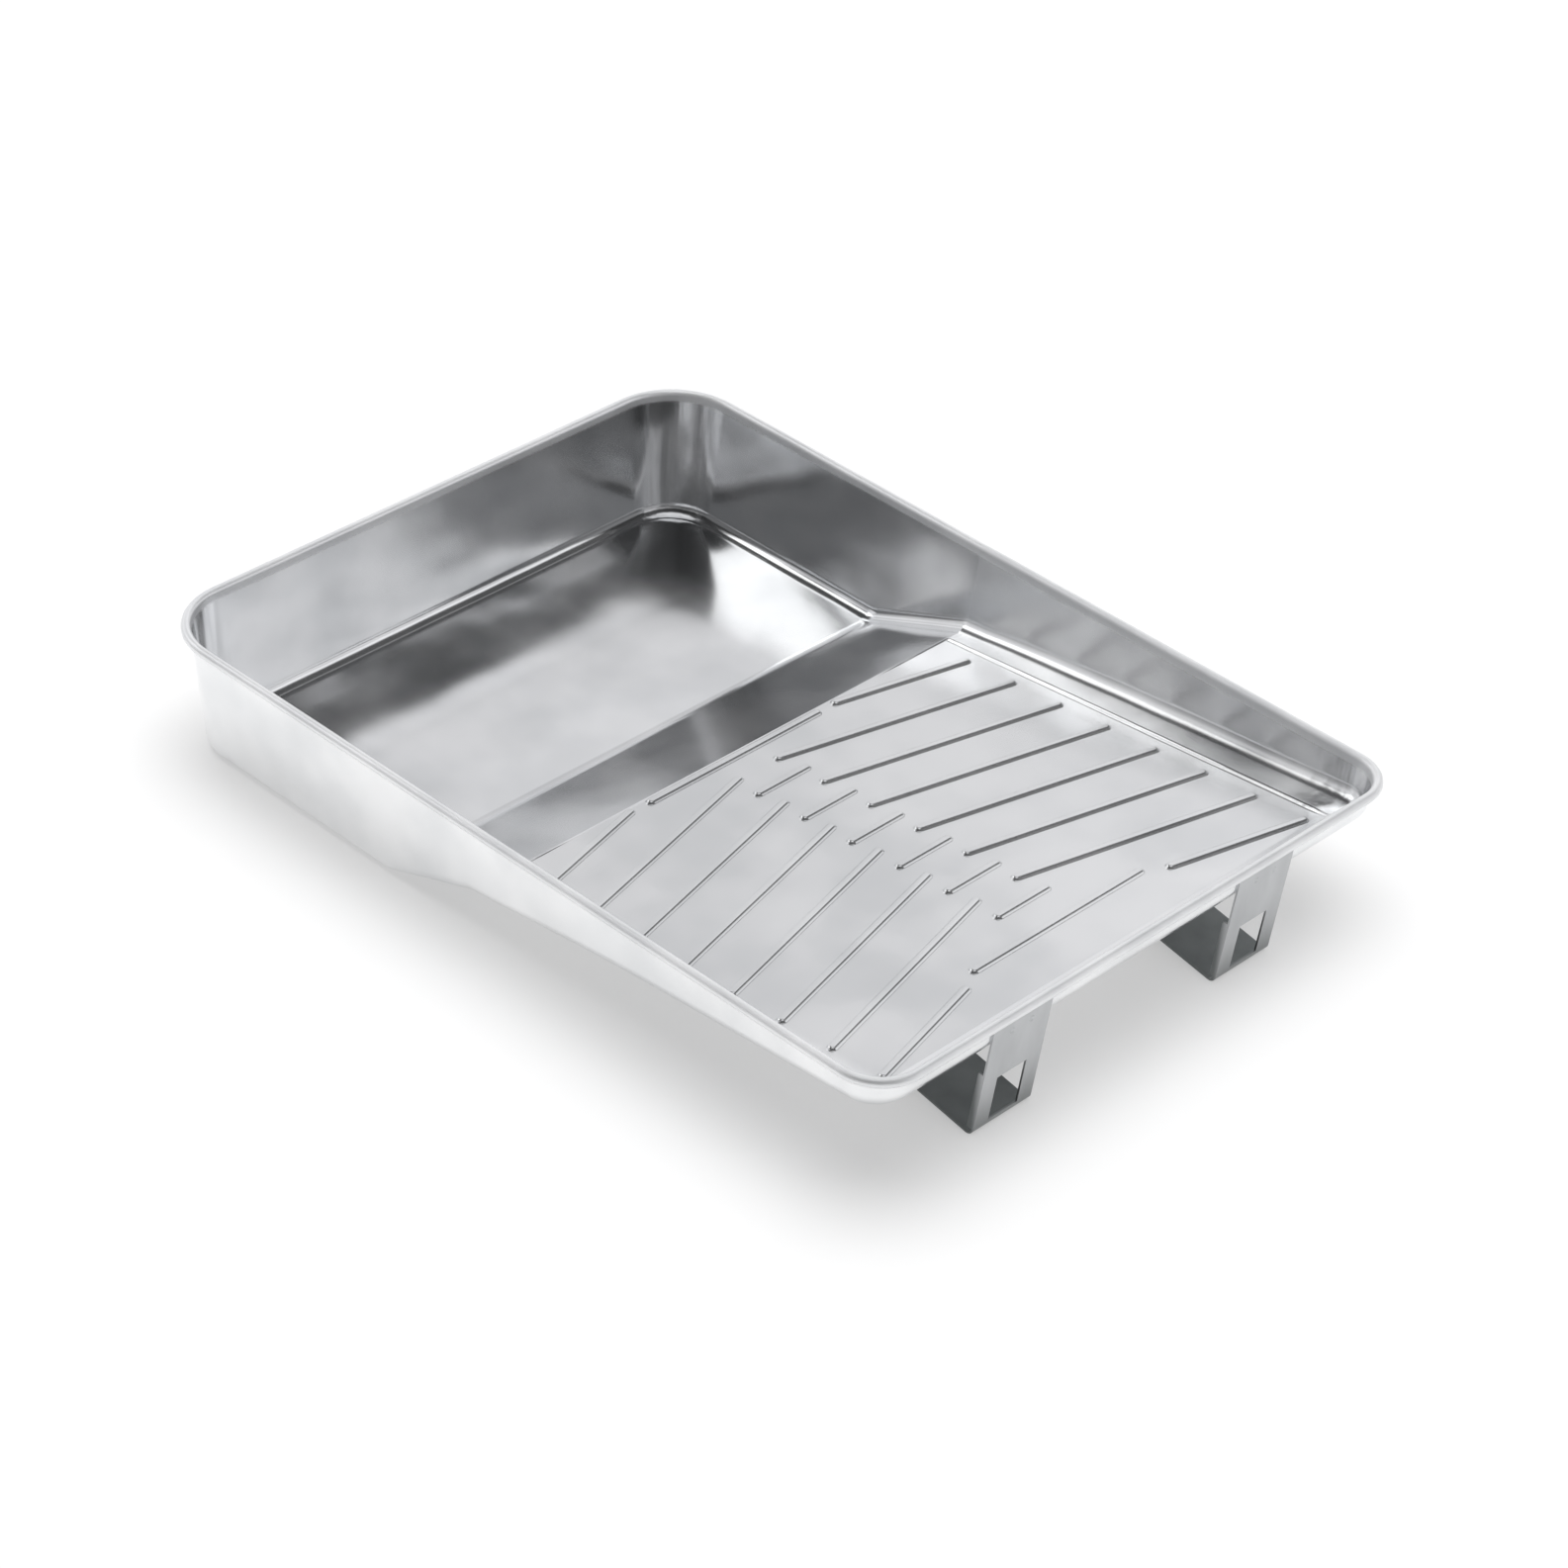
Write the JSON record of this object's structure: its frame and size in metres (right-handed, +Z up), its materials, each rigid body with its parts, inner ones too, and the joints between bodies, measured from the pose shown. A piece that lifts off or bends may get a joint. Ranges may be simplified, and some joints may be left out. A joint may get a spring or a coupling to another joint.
{
  "type": "paint roller tray",
  "caption": "Drawn sheet-metal tray with a deep paint well, a ribbed ramp up to a low front rim and bent strip legs under the ramp end.",
  "frame": {"origin": "on the floor under the middle of the tray, half way along its length and width", "axes": "+Z up, +Y towards the deep well, -Y towards the legs, +X across the tray"},
  "size_m": [0.28, 0.382, 0.055],
  "materials": {
    "bright_tinplate": "bright drawn tinplate, mirror-like in the well and satin on the ramp",
    "leg_steel": "satin zinc-plated strip"
  },
  "bodies": {
    "root": {"tray_pan": "bright_tinplate", "left_leg": "leg_steel", "right_leg": "leg_steel"}
  },
  "joints": []
}
